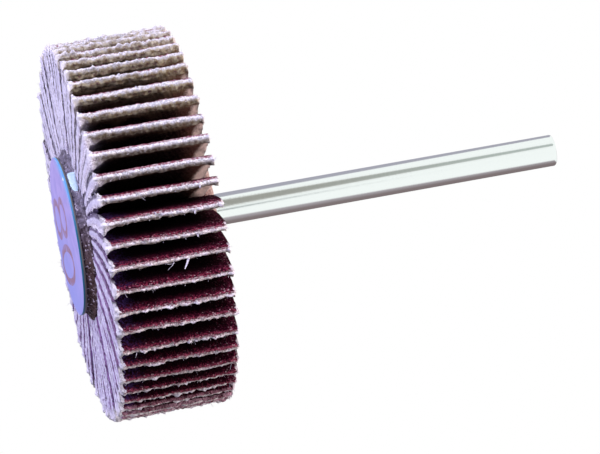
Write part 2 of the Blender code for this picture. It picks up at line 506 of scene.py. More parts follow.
def sheet_surface(flap, radius, height):
    """Points of a flap's middle surface, with its outward and sideways directions there."""
    reach = flap["tip_radius"] - flap["root_radius"]
    share = np.clip((radius - flap["root_radius"]) / reach, 0.0, None)
    angle = flap["root_angle"] + flap["sweep"] * share ** SWEEP_POWER
    turn_rate = flap["sweep"] * SWEEP_POWER * share ** (SWEEP_POWER - 1) / reach
    lean = np.arctan(radius * turn_rate)
    outward = np.stack([np.cos(angle + lean), np.sin(angle + lean), np.zeros_like(angle)], -1)
    sideways = np.stack([-np.sin(angle + lean), np.cos(angle + lean), np.zeros_like(angle)], -1)
    place = np.stack([radius * np.cos(angle), radius * np.sin(angle), height], -1)
    return place, outward, sideways


def grid_quads(index):
    """The quads of a grid of point numbers."""
    corners = index[:-1, :-1], index[:-1, 1:], index[1:, 1:], index[1:, :-1]
    return np.stack([corner.ravel() for corner in corners], 1)


def near(distance, reach):
    """1 at no distance, falling sharply away from it."""
    return np.exp(-distance / reach)


def close(distance, reach):
    """1 at no distance, falling away from it with a round top."""
    return np.exp(-(distance / reach) ** 2)


def mid_level(level):
    """1 in the middle of a sheet's thickness and 0 near its faces."""
    return max(0.0, 1.0 - abs(level - 0.05) / 0.6)


def strand(start, way, bend, length, thick, points, faces, sides=3):
    """Add one fibre, a thin bent tube that tapers to its free end."""
    first = len(points)
    for step in range(FIBRE_STEPS + 1):
        share = step / FIBRE_STEPS
        centre = start + (way * share + bend * share * share * 0.5) * length
        for turn in range(sides):
            side = 2 * math.pi * turn / sides
            spoke = np.array([math.cos(side), math.sin(side), math.cos(side + 1.0)])
            points.append(centre + spoke * thick * (1.0 - 0.6 * share))
    for step in range(FIBRE_STEPS):
        for turn in range(sides):
            low = first + step * sides
            turned = (turn + 1) % sides
            faces.append((low + turn, low + turned, low + sides + turned, low + sides + turn))
    faces.append(tuple(range(first + sides - 1, first - 1, -1)))
    last = first + FIBRE_STEPS * sides
    faces.append(tuple(range(last, last + sides)))


def flap_fibres(rng, name, outline, outward, sideways, thickness):
    """Fine loose fibres that stand out of the cut edge of the cloth, and the loose threads of this flap."""
    points, faces = [], []
    for node, place, (out, down, on), length, thick, curl in LOOSE_THREADS:
        if node == name:
            # The outermost point of the outline close to that place
            off = np.abs(outline[:, 2] - WHEEL_FRONT - place * MM)
            at = int(np.argmin(off - np.hypot(outline[:, 0], outline[:, 1])))
            way = outward[at] * out + sideways[at] * down + np.array([0.0, 0.0, on])
            bend = outward[at] * curl[0] + sideways[at] * curl[1] + np.array([0.0, 0.0, curl[2]])
            start = outline[at] + sideways[at] * thickness * 0.25 * math.copysign(1.0, down)
            way /= np.linalg.norm(way)
            strand(start - way * 0.1 * MM, way, bend, length * MM, thick * MM, points, faces, 7)
    for _ in range(FIBRES_PER_FLAP):
        at = int(rng.integers(4, len(outline) - 4))
        length = rng.uniform(*FIBRE_LENGTH) * MM * (2.2 if rng.random() < 0.05 else 1.0)
        thick = rng.uniform(*FIBRE_HALF_WIDTH) * MM
        start = outline[at] + sideways[at] * thickness * rng.uniform(-0.1, 0.5)
        start = start - outward[at] * 0.08 * MM
        way = outward[at] * rng.uniform(0.5, 1.0) + sideways[at] * rng.uniform(-0.5, 0.9)
        way = way + rng.uniform(-0.6, 0.6, 3)
        way /= np.linalg.norm(way)
        strand(start, way, rng.uniform(-1.4, 1.4, 3), length, thick, points, faces)
    return points, faces


def flap_piece(name, finish, seed):
    """One sheet of abrasive cloth: grit on one face, woven backing on the other, and a frayed cut edge."""
    flap = read_flap(name)
    rng = np.random.default_rng(seed)
    root_radius, tip_radius, thickness = (flap[size] for size in ("root_radius", "tip_radius", "thickness"))
    half = thickness / 2
    across, drop = column_places(flap["front_wear"], flap["rear_wear"])
    columns = len(across)
    even = np.linspace(0.0, 1.0, SHEET_ROWS)
    rows = ROWS_EVEN * even + (1.0 - ROWS_EVEN) * (1.0 - (1.0 - even) ** 2)
    to_side = np.minimum(across, WHEEL_WIDTH - across)
    setback = rng.uniform(*FRONT_SETBACK)
    place_along = WHEEL_FRONT + across + setback * np.clip(1.0 - across / SETBACK_LENGTH, 0.0, 1.0)

    def face(edge_radius):
        """The middle surface up to an edge radius, its directions, and the distance to its edge."""
        radius = root_radius + rows[:, None] * (edge_radius - root_radius)[None, :]
        height = np.broadcast_to(place_along, radius.shape)
        middle, outward, sideways = sheet_surface(flap, radius, height)
        # Slow waves bend the whole sheet a little, most at its free end
        free = np.clip(1.0 - (tip_radius - radius) / WAVE_LENGTH, 0.0, 1.0)
        wave = sheet_noise(height / WAVE_SIZE[0] + seed, radius / WAVE_SIZE[1], seed) * WAVE_HEIGHT * free
        middle = middle + sideways * wave[..., None]
        to_edge = np.minimum(to_side[None, :], edge_radius[None, :] - radius)
        return radius, height, middle, outward, sideways, to_edge

    def lumps(height, radius, size, step):
        """Noise over a face of the sheet, with lumps of a size in millimetres."""
        return sheet_noise(height / (size * MM), radius / (size * MM), seed + step)

    def ripple(place, size, step, row=0.0):
        """Noise along a line of places, with ripples of a size in millimetres."""
        return sheet_noise(place / (size * MM), np.full_like(place, row), seed + step)

    # The grit face reaches the tip. The soft backing is worn round behind it
    edge_radius = tip_radius - drop
    wear_back = TIP_ROUND * rng.uniform(0.8, 1.2) * np.clip(to_side / (0.8 * MM), 0.3, 1.0)
    radius, height, middle, outward, sideways, to_edge = face(edge_radius)
    back_edge = edge_radius - wear_back
    back_radius, back_height, back_middle, _, back_sideways, back_to_edge = face(back_edge)

    # The outline runs from the root along the front, over the tip and back along the rear
    ring_rows = [*range(SHEET_ROWS), *[SHEET_ROWS - 1] * (columns - 2), *range(SHEET_ROWS - 1, -1, -1)]
    ring_columns = [*[0] * SHEET_ROWS, *range(1, columns - 1), *[columns - 1] * SHEET_ROWS]
    at_ring = ring_rows, ring_columns
    ring = middle[at_ring]
    ring_back = back_middle[at_ring]
    ring_sideways = sideways[at_ring]
    along = np.gradient(ring, axis=0)
    along /= np.linalg.norm(along, axis=1)[:, None]
    ring_outward = np.cross(along, ring_sideways)
    ring_outward *= np.sign(np.einsum("ij,ij->i", ring_outward, ring - middle.mean(axis=(0, 1))))[:, None]
    steps = np.linalg.norm(np.diff(ring, axis=0), axis=1)
    travelled = np.concatenate([[0.0], np.cumsum(steps)])
    ring_tip = np.clip(np.abs(ring_outward[:, :2] @ outward[0, 0, :2]), 0.0, 1.0) ** 2
    free_ring = np.clip((radius[at_ring] - root_radius) / (1.5 * MM), 0.0, 1.0)

    # Yarn ends make a lump every yarn pitch and fine noise frays them, less at the front and rear
    lump = np.abs(np.cos(math.pi * (travelled / YARN_PITCH + rng.random()))) ** 0.7
    yarn = ripple(travelled, YARN_PITCH / MM, 11)
    loose = ripple(travelled, 2.4, 12)
    ragged = (0.5 + 0.5 * ring_tip) * free_ring * rng.uniform(0.8, 1.3)
    corners = travelled[SHEET_ROWS], travelled[-SHEET_ROWS]
    to_corner = np.minimum(np.abs(travelled - corners[0]), np.abs(travelled - corners[1]))
    knob = close(to_corner, 0.45 * MM) * rng.uniform(0.6, 1.4)
    tufts = np.zeros_like(travelled)
    for _ in range(TUFTS_PER_FLAP):
        apart = (travelled - rng.uniform(0.3, 0.7) * travelled[-1]) / (rng.uniform(*TUFT_HALF_WIDTH) * MM)
        tufts += rng.uniform(0.4, 1.8) * np.exp(-apart * apart)

    def fray(level):
        """How far the cut edge stands out at a level, all along the outline."""
        fine = ripple(travelled, 0.2, 13, level * 3.0)
        if level < GRIT_LEVEL:
            return (0.10 * fine + 0.05 * yarn - 0.06) * MM * ragged
        bulge = math.sqrt(max(0.0, 1.0 - ((level - 0.1) / 0.95) ** 2)) * FRAY_BULGE - FRAY_SUNK
        stray = (FRAY_TUFTS * tufts + FRAY_KNOB * knob) * mid_level(level)
        cloth = FRAY_LUMPS * (lump - 0.6) + FRAY_YARN * yarn + FRAY_LOOSE * loose + FRAY_FINE * fine
        return (bulge + stray + cloth) * MM * ragged

    # Relief of the two faces: lumpy cloth behind, grains and worn edges in front
    puff = lumps(back_height, back_radius, 0.45, 14)
    swell = near(back_to_edge, 0.4 * MM) * (BACK_SWELL + 0.12 * puff)
    near_corner = near(np.hypot(to_side[None, :], back_edge - back_radius), 0.5 * MM)
    back_relief = (BACK_PUFF * puff + swell + BACK_CORNER * near_corner * (1.0 + puff)) * MM
    frayed = close(across, 1.0 * MM)[None, :] * np.clip((back_radius - FRAYED_FROM) / (3.0 * MM), 0.0, 1.0)
    frayed = frayed * (1.0 + 0.4 * lumps(back_height, back_radius, 0.8, 16) + 0.3 * puff)
    frayed = frayed * FRAYED_FRONTS.get(name, 0.0)
    back_relief += frayed * MM
    grains = lumps(height, radius, 0.22, 15)
    front_corner = near(np.hypot(across[None, :], edge_radius - radius), 0.5 * MM)
    rear_corner = near(np.hypot(WHEEL_WIDTH - across[None, :], edge_radius - radius), 0.25 * MM)
    front_relief = GRIT_GRAINS * grains - GRIT_WORN * near(to_edge, 0.4 * MM)
    front_relief = (front_relief + GRIT_CORNER * front_corner * (1.0 + grains)) * MM
    held = np.clip((radius - root_radius - HELD_LENGTH) / (1.0 * MM), 0.0, 1.0)

    # Both faces splay at the front end, most on the far side of the wheel and least at the tips
    gap = np.clip(2 * math.pi * radius / len(FLAPS) - thickness, 0.0, None)
    spread = ripple(radius, 0.5, 17, seed)
    fuzz = ripple(radius, 0.17, 18, seed)
    turned = flap["root_angle"]
    away = 1.0 + 1.4 * math.sin(turned) + 0.8 * max(0.0, -math.cos(turned))
    away = min(1.0, max(0.0, away))
    wide = FRONT_SPLAY[0] + (FRONT_SPLAY[1] - FRONT_SPLAY[0]) * away
    wide = wide * (1.0 - (0.4 + 0.45 * away) * near(tip_radius - radius, 1.0 * MM))
    splay = wide * gap * (1.0 + 0.35 * spread + 0.4 * fuzz) + 0.05 * MM * fuzz * held
    splay = splay * close(across, SPLAY_DEPTH)[None, :]
    grit_side = middle - sideways * (half + splay + front_relief * held)[..., None]
    back_side = back_middle + back_sideways * (half + splay + back_relief * held)[..., None]
    ring_half = half + splay[at_ring][:, None]
    grit_side[at_ring] += ring_outward * fray(-1.0)[:, None]
    back_side[at_ring] += ring_outward * fray(1.0)[:, None]
    tip = to_side[None, :] / (to_side[None, :] + edge_radius[None, :] - radius + 0.05 * MM)
    tip[at_ring] = ring_tip

    # The two faces, then the layers of the cut edge between them
    points = []
    data = {"level": [], "rim": [], "tip": [], "lint": []}

    def add_points(places, **numbers):
        """Add some points, with the numbers that the finish reads there."""
        places = places.reshape(-1, 3)
        points.append(places)
        for label, number in numbers.items():
            data[label].append(np.broadcast_to(np.ravel(number), len(places)))

    corner_lint = np.clip(2.2 * front_corner + 1.2 * rear_corner - 0.3, 0.0, 1.0)
    add_points(grit_side, level=-1.0, rim=to_edge / MM, tip=tip, lint=corner_lint)
    add_points(back_side, level=1.0, rim=back_to_edge / MM, tip=tip, lint=np.clip(frayed * 3.0, 0.0, 1.0))
    for level in LAYER_LEVELS[1:-1]:
        rounded = max(0.0, ((level + 1.0) / 2 - ROUND_START) / (1.0 - ROUND_START)) ** 2
        place = ring + (ring_back - ring) * rounded + ring_sideways * ring_half * level
        lint = np.clip(tufts + knob, 0.0, 1.0) * mid_level(level)
        add_points(place + ring_outward * fray(level)[:, None], level=level, rim=0.0, tip=ring_tip, lint=lint)

    # Faces: the grit, the backing, the strips of the cut edge and the root
    sheet = SHEET_ROWS * columns
    index = np.arange(sheet).reshape(SHEET_ROWS, columns)
    quads = grid_quads(index)
    faces = [tuple(face) for face in quads]
    faces += [tuple(face) for face in quads[:, ::-1] + sheet]
    grit_ring = index[at_ring]
    levels = [grit_ring]
    levels += [2 * sheet + step * len(ring) + np.arange(len(ring)) for step in range(len(LAYER_LEVELS) - 2)]
    levels.append(grit_ring + sheet)
    for here, after in zip(levels, levels[1:]):
        strip = np.stack([here[:-1], here[1:], after[1:], after[:-1]], 1)
        faces += [tuple(face) for face in strip]
    root = [*index[0, ::-1], *[level[0] for level in levels[1:-1]], *(index[0] + sheet)]
    root += [level[-1] for level in levels[-2:0:-1]]
    faces.append(tuple(root))

    strand_points, strand_faces = flap_fibres(rng, name, ring, ring_outward, ring_sideways, thickness)
    first = sum(len(part) for part in points)
    faces += [tuple(corner + first for corner in face) for face in strand_faces]
    add_points(np.array(strand_points), level=0.1, rim=0.0, tip=1.0, lint=1.0)
    attributes = {label: np.concatenate(parts) for label, parts in data.items()}
    add_piece(name + "_sheet", np.concatenate(points), faces, finish, name, attributes)


def abrasive_cloth():
    """Maroon grit on one side of a woven cotton backing, pale and frayed where it was cut."""
    finish = Finish("abrasive_cloth", roughness=0.95, specular_ior_level=0.04)
    mix = finish.mix
    level, rim, tip, fluff = (finish.attribute(name) for name in ("level", "rim", "tip", "lint"))
    mottle = finish.noise(0.9)
    fine = finish.noise(5.0)
    patch = finish.noise(2.2)
    blot = finish.noise(1.3, 4.0)
    patch_off, fine_off, blot_off = patch - 0.5, fine - 0.5, blot - 0.5
    grain_gap = finish.cells(6.5)
    grain = finish.cell_number(6.5, 0)
    glint = finish.cell_number(6.5, 1)
    depth = WHEEL_RADIUS / MM - finish.radius
    from_front = finish.z - WHEEL_FRONT / MM
    to_rear = WHEEL_REAR / MM - finish.z

    # Shares by height in the photograph, where -X is up, and by place on the sheet
    up = finish.x * -1.0
    low = finish.x.rise(-3.0, 5.0)
    above = up.rise(4.0, 12.0)
    bottom = finish.x.rise(16.4, 18.0)
    # Depth from the tip, stretched towards +X, over which painted light fades and painted shade deepens
    shade_depth = depth * (1.0 + 0.45 * finish.x.rise(4.0, 13.0) + finish.x.rise(12.0, 17.0))
    # Where painted light from the rear falls, near the rear edge with ragged bounds
    rear_light = 1.0 - (to_rear + patch_off * 1.5).rise(0.6, 3.0)

    # Grit: dark maroon grains with brighter ones among them, brightest along the tip and near the rear as
    # painted light, and near black deeper in as painted shade
    # Painted light along the tip: grains brighten where light reaches and fade with the stretched depth
    painted_tip_light = 1.0 - (shade_depth + patch_off * 0.7 + blot_off * 0.6).rise(0.0, 0.75)
    grit = mix(grain ** 2.0, (0.030, 0.002, 0.010), (0.17, 0.017, 0.045))
    ruddy = mix(low, (0.52, 0.090, 0.165), (0.38, 0.050, 0.110))
    grit = mix(painted_tip_light * grain.rise(0.25, 0.8), grit, ruddy)
    # Painted light from the rear brightens grains near the rear edge
    grit = mix(rear_light * grain.rise(0.45, 0.9) * 0.5, grit, (0.26, 0.045, 0.11))
    # Painted glints on single grains, strongest in the painted light along the tip and near the rear
    sparkle = glint.rise(0.88, 0.95) * (0.12 + 0.7 * painted_tip_light + 0.35 * rear_light)
    grit = mix(sparkle, grit, (0.74, 0.44, 0.52))
    grit = mix(grain_gap.rise(0.3, 0.65) * 0.8, grit, (0.014, 0.001, 0.005))
    # Painted shade: grains go near black deeper in the gaps, less in the painted rear light
    shade = (shade_depth + patch_off * 0.6).rise(0.15, 1.4) * (1.0 - 0.6 * rear_light)
    grit = mix(shade * 0.9, grit, (0.006, 0.002, 0.004))
    violet = (1.0 - from_front.rise(0.4, 3.0)) * glint.rise(0.35, 0.75) * (1.0 - 0.8 * painted_tip_light)
    grit = mix(violet * 0.65, grit, (0.055, 0.028, 0.115))
    rosy = mix(bottom, (0.52, 0.12, 0.19), (0.70, 0.40, 0.52))
    blush = (1.0 - (depth + fine_off * 0.4 - 0.16 * bottom).rise(0.02, 0.2)) * finish.x.rise(5.0, 14.0)
    blush = blush * (0.4 + 0.5 * bottom) * blot.rise(0.3, 0.55) * (0.4 + 0.6 * grain)
    grit = mix(blush, grit, rosy)
    edge = level.rise(-0.98, -0.85)
    dusky = mix(fine.rise(0.4, 0.6), (0.34, 0.12, 0.18), (0.76, 0.60, 0.68))
    grit = mix(edge * tip.rise(0.3, 0.8) * (0.75 - 0.2 * low), grit, dusky)

    # Backing: woven cotton stained brown, darker towards the hub as painted shade and redder near the rear as
    # painted light
    yarn_along = (finish.z * (2 * math.pi / 0.5) + finish.radius * 4.0 + mottle * 3.0).sine()
    yarn_across = (finish.radius * (2 * math.pi / 0.42) + mottle * 2.0).sine()
    weave = (yarn_along * 0.5 + yarn_across * 0.5) * 0.5 + 0.5
    shallow = 1.0 - depth.rise(0.5, 1.4)
    backing = mix(weave * 0.5 * shallow + fine * 0.4, (0.10, 0.055, 0.040), (0.28, 0.20, 0.13))
    backing = mix(mottle.rise(0.45, 0.7) * 0.5, backing, (0.10, 0.03, 0.03))
    crown = up.rise(14.5, 18.0)
    crown_dark = mix(crown, (0.20, 0.145, 0.085), (0.20, 0.15, 0.10))
    crown_light = mix(crown, (0.43, 0.37, 0.27), (0.52, 0.46, 0.39))
    olive_dark = mix(above, (0.15, 0.115, 0.11), crown_dark)
    olive_light = mix(above, (0.38, 0.34, 0.33), crown_light)
    olive = mix(patch.rise(0.35, 0.65), olive_dark, olive_light)
    beside = 1.0 - (depth + patch_off * 0.6 + fine_off * 0.4).rise(0.35, 1.4)
    backing = mix(beside * (0.25 + 0.6 * above), backing, olive)
    tone = finish.noise(0.45, 1.0)
    # Painted shade: the backing goes near black deeper between the sheets, less in the painted rear light
    deep = (depth + (tone - 0.5) * (1.5 + 2.5 * above)).rise(0.4 + 0.4 * above, 1.9 + 0.5 * above)
    backing = mix(deep * (0.97 - 0.3 * rear_light), backing, (0.010, 0.002, 0.004))
    # Painted light from the rear: a reddish tint near the rear edge
    backing = mix(rear_light * 0.45 * fine.rise(0.3, 0.6), backing, (0.16, 0.045, 0.04))
    backing = mix(finish.noise(6.0).rise(0.52, 0.62) * 0.5, backing, (0.10, 0.055, 0.050))
    # Painted light from the rear: a pinkish-beige pool on the backing near its rear edge, widening with depth
    rear_light_pool = 1.0 - (to_rear + fine_off * 0.8 - (depth - 0.9) * 0.10).rise(0.25, 0.9)
    rear_light_pool = rear_light_pool * depth.rise(0.7, 1.1)
    backing = mix(rear_light_pool, backing, mix(fine, (0.84, 0.56, 0.53), (1.0, 0.80, 0.76)))

    # Lint that the cut left on both sides of the sheet just behind its front edge
    lilac = mix(patch.rise(0.35, 0.62), (0.40, 0.31, 0.55), (0.70, 0.65, 0.92))
    far = finish.y.rise(-6.0, 2.0).most(depth.rise(0.8, 1.8) * finish.y.rise(-14.0, -9.0) * 0.7)
    reach = fine_off * 0.6 + blot_off * 0.6 - (0.3 + 1.8 * blot) * far
    lint = 1.0 - (from_front + reach).rise(0.05, 0.2)
    inner = depth.rise(1.0, 1.8).most(finish.y.rise(-9.0, -5.0))
    # The lint is real; its paler tone towards -X is painted light that lifts the shade inside the gaps
    airy = mix(up.rise(0.0, 6.0) * 0.8, lilac, (0.84, 0.80, 0.98))
    bruised = mix(low * 0.8, airy, (0.44, 0.22, 0.54))
    grit = mix(lint * inner * (0.85 - 0.45 * edge), grit, bruised)
    column = 1.0 - (from_front + blot_off * 0.7 + fine_off * 0.4).rise(0.2, 0.3)
    pale = mix(patch, (0.62, 0.58, 0.80), (0.92, 0.89, 0.98))
    grit = mix(column * (1.0 - depth.rise(0.8, 1.5)), grit, pale)
    rear_column = 1.0 - (to_rear + blot_off * 0.8 + fine_off * 0.5).rise(0.1, 0.2)
    grit = mix(rear_column * (1.0 - depth.rise(0.3, 0.9)), grit, (0.72, 0.62, 0.70))
    clump = (fluff + blot_off * 0.9 + fine_off * 0.7).rise(0.5, 0.6)
    grit = mix(clump * fluff.rise(0.0, 0.2), grit, pale)
    backing = mix(lint * (0.9 - 0.5 * above * (1.0 - inner)), backing, airy)

    # Dust behind the fronts of the sheets at mid height
    middle = finish.x.rise(-13.0, -8.0) * (1.0 - finish.x.rise(0.0, 4.0))
    dust = 1.0 - (from_front + fine_off * 1.4 + blot_off * 0.9).rise(0.5, 0.8)
    dusty = mix(finish.noise(7.0).rise(0.44, 0.58), (0.36, 0.29, 0.42), (0.92, 0.87, 1.0))

    # Cut edges: white-lilac beside the grit, olive and then brown towards the backing, the brown partly stain
    # and partly painted shade
    bright = mix(above, (0.93, 0.89, 1.0), (0.82, 0.79, 0.92))
    bright = mix(low, bright, (0.90, 0.79, 0.85))
    dull = mix(low, (0.40, 0.39, 0.46), (0.52, 0.42, 0.46))
    white = mix(fine.rise(0.33, 0.58), dull, bright)
    white = mix(patch.rise(0.52, 0.66) * 0.6, white, (0.40, 0.43, 0.52))
    white = mix(finish.noise(8.0).rise(0.50, 0.64) * 0.7, white, (0.27, 0.24, 0.29))
    white = mix((1.0 - patch).rise(0.55, 0.68) * 0.6, white, (0.58, 0.52, 0.48))
    notch = (finish.z * (2 * math.pi / 0.75) + blot * 9.0).sine()
    across = level + blot_off * 0.7 + fine_off * 0.6 + notch * 0.10 + above * 0.15
    tip_cut = mix(across.rise(0.3, 0.9), white, olive)
    # Brown towards the backing, starting sooner towards -X: partly stain, partly painted shade
    brown = mix(above, (0.09, 0.045, 0.030), (0.105, 0.05, 0.06))
    tip_cut = mix((across + 0.1 * above).rise(1.0, 1.3), tip_cut, brown)
    streaks = finish.noise(1.0, 3.0, finish.vector("MULTIPLY", finish.place, (0.7, 0.7, 3.0)))
    front_cut = mix(streaks.rise(0.3, 0.6), (0.56, 0.53, 0.77), (0.82, 0.79, 0.98))
    front_cut = mix(low * streaks.rise(0.45, 0.65) * 0.8, front_cut, (0.45, 0.35, 0.66))
    front_cut = mix(low * blot.rise(0.54, 0.62) * 0.8, front_cut, (0.88, 0.88, 1.0))
    rear_cut = mix(fine.rise(0.3, 0.7), (0.52, 0.42, 0.42), (0.90, 0.82, 0.83))
    side_cut = mix(from_front.rise(3.0, 8.0), front_cut, rear_cut)
    cut = mix(tip.rise(0.2, 0.7), side_cut, tip_cut)
    cut = mix(level.rise(0.8, 1.0) * above * 0.7, cut, olive)
    corner = (1.0 - (from_front + blot_off * 0.8).rise(0.1, 0.5)) * (1.0 - depth.rise(0.3, 0.9))
    cut = mix(corner * (1.0 - rim.rise(0.0, 0.1)) * (0.8 - 0.3 * above), cut, (0.88, 0.85, 0.98))
    worn = 1.0 - (rim + fine_off * 0.9 + (1.0 - tip.rise(0.1, 0.5)) * 0.18).rise(0.02, 0.4)
    cotton = mix(worn, backing, cut)
    cotton = mix(dust * middle * level.rise(0.5, 0.9) * 0.85, cotton, dusty)
    wool = mix(fine.rise(0.3, 0.6), (0.55, 0.49, 0.74), (0.90, 0.87, 1.0))
    cotton = mix(fluff * (0.85 - 0.45 * above), cotton, wool)

    border = level - GRIT_LEVEL + fine_off * 0.6 + tip * (above * (0.1 + blot * 0.5) + bottom * 0.5)
    border = border.rise(-0.15, 0.15)
    finish.set("Base Color", mix(border, grit, cotton))
    grit_height = 1.0 - grain_gap.rise(0.0, 0.6)
    cloth_height = weave * 0.4 * (1.0 - 0.85 * rear_light) + fine * 0.6
    finish.bump(grit_height * (1.0 - border) + cloth_height * border, 0.14)
    return finish


def turned_mesh(outline, sides):
    """Points and faces of a shape turned about Z from (radius, height) points. Its ends lie on the axis."""
    turns = np.linspace(0.0, 2 * math.pi, sides, endpoint=False)
    points = [(0.0, 0.0, outline[0][1]), (0.0, 0.0, outline[-1][1])]
    for radius, height in outline[1:-1]:
        points += [(radius * math.cos(turn), radius * math.sin(turn), height) for turn in turns]
    faces = []
    rings = len(outline) - 2
    for side in range(sides):
        after = (side + 1) % sides
        faces.append((0, 2 + side, 2 + after))
        for ring in range(rings - 1):
            lower, upper = 2 + ring * sides, 2 + (ring + 1) * sides
            faces.append((lower + side, upper + side, upper + after, lower + after))
        last = 2 + (rings - 1) * sides
        faces.append((1, last + after, last + side))
    return np.array(points), faces


def steel():
    """Bright ground steel with faint marks round it."""
    finish = Finish("steel", base_color=(0.93, 0.94, 0.93), metallic=1.0)
    stretched = finish.vector("MULTIPLY", finish.place, (1.0, 1.0, 9.0))
    marks = finish.noise(0.9, 4.0, stretched)
    finish.set("Roughness", marks * 0.10 + 0.05)
    finish.bump(marks, 0.0015)
    return finish


def shank_piece():
    """The steel pin, with a small rounded break at its free end."""
    outline = [(0.0, SHANK_HIGH[2])]
    for step in range(5):
        turn = math.pi / 2 * step / 4
        radius = SHANK_RADIUS - SHANK_EDGE + SHANK_EDGE * math.sin(turn)
        outline.append((radius, SHANK_HIGH[2] - SHANK_EDGE + SHANK_EDGE * math.cos(turn)))
    for height in np.linspace(SHANK_HIGH[2] - 2 * SHANK_EDGE, SHANK_LOW[2], 40):
        outline.append((SHANK_RADIUS, height))
    outline.append((0.0, SHANK_LOW[2]))
    points, faces = turned_mesh(outline[::-1], SHANK_SIDES)
    piece = add_piece("shank_steel", points, faces, steel(), "shank")
    piece.data.set_sharp_from_angle(angle=SHARP_ANGLE)


def resin():
    """Dark brown-grey cast resin with dust and grains in it, lighter and bluer towards -X as painted light.
    """
    finish = Finish("resin", roughness=0.7, specular_ior_level=0.2)
    mix = finish.mix
    mottle = finish.noise(1.6)
    fine = finish.noise(3.5)
    speck = finish.cell_number(7.0)
    # Painted light: the resin gets lighter and bluer towards -X, where the light falls
    high = (finish.x * -1.0 + mottle * 3.0).rise(-2.0, 6.0)
    dark = mix(high, (0.022, 0.010, 0.012), (0.055, 0.045, 0.065))
    light = mix(high, (0.12, 0.075, 0.08), (0.28, 0.25, 0.36))
    patchy, grainy = mottle.rise(0.35, 0.65), fine.rise(0.4, 0.62)
    color = mix(patchy * 0.4 + grainy * 0.6, dark, light)
    color = mix(speck.rise(0.90, 0.96), color, (0.46, 0.40, 0.52))
    rear = mix(patchy * 0.5 + grainy * 0.5, (0.27, 0.16, 0.15), (0.56, 0.40, 0.36))
    rear = mix(speck.rise(0.80, 0.90) * 0.7, rear, (0.20, 0.11, 0.12))
    color = mix(finish.z.rise(WHEEL_REAR / MM - 0.6, WHEEL_REAR / MM), color, rear)
    finish.set("Base Color", color)
    finish.bump(mottle * 0.4 + fine * 0.6, 0.2)
    return finish


def hub_piece():
    """The resin hub: a hollow fillet from the label's edge down to the flaps, and a flat rear face."""
    front = LABEL_HIGH[2]
    seat_radius = LABEL_RADIUS - SEAT_INSET
    core_radius = read_flap("flap_01")["root_radius"] - SEAT_CLEARANCE
    flange_back = WHEEL_FRONT - SEAT_CLEARANCE
    rear_seat = WHEEL_REAR + SEAT_CLEARANCE
    rear_face = rear_seat + REAR_FLANGE
    bore = SHANK_RADIUS + SEAT_CLEARANCE
    outline = [(0.0, front)]
    outline += [(seat_radius * share, front) for share in (0.3, 0.6, 0.9)]
    for step in range(13):
        turn = math.pi / 2 * step / 12
        radius = HUB_RADIUS + (seat_radius - HUB_RADIUS) * math.cos(turn)
        height = front + (flange_back - FLANGE_RIM - front) * math.sin(turn)
        outline.append((radius, height))
    outline += [(HUB_RADIUS, flange_back - FLANGE_RIM / 2), (HUB_RADIUS, flange_back)]
    outline += [(core_radius, height) for height in np.linspace(flange_back, rear_seat, 12)]
    outline += [(HUB_RADIUS, rear_seat), (HUB_RADIUS, rear_face - REAR_EDGE)]
    outline.append((HUB_RADIUS - REAR_EDGE, rear_face))
    rear_radii = np.linspace(HUB_RADIUS - 2 * REAR_EDGE, bore + MENISCUS_REACH + 0.2 * MM, 12)
    outline += [(radius, rear_face) for radius in rear_radii]
    for step in range(9):
        turn = math.pi / 2 * step / 8
        radius = bore + MENISCUS_REACH * (1 - math.sin(turn))
        height = rear_face + MENISCUS_RISE * (1 - math.cos(turn))
        outline.append((radius, height))
    outline.append((0.0, HUB_HIGH[2]))
    points, faces = turned_mesh(outline, ROUND_SIDES)

    # The front fillet and the rear face are rough
    radius = np.hypot(points[:, 0], points[:, 1])
    turn = np.arctan2(points[:, 1], points[:, 0])
    rough = sheet_noise(turn * 9.0 + 40.0, (points[:, 2] + radius) / RESIN_LUMPS[0], 501)
    finer = sheet_noise(turn * 26.0 + 90.0, (points[:, 2] + radius) / RESIN_LUMPS[1], 502)
    fillet = (points[:, 2] < WHEEL_FRONT) & (radius > seat_radius * 0.95)
    back = (points[:, 2] > rear_seat + 0.2 * MM) & (radius > bore + 0.1 * MM)
    push = np.where(fillet, FILLET_ROUGH[0] * rough + FILLET_ROUGH[1] * finer, 0.0)
    points[:, 0] += np.cos(turn) * push
    points[:, 1] += np.sin(turn) * push
    points[:, 2] += np.where(back, REAR_ROUGH[0] * rough + REAR_ROUGH[1] * finer, 0.0)
    add_piece("hub_resin", points, faces, resin(), "hub")


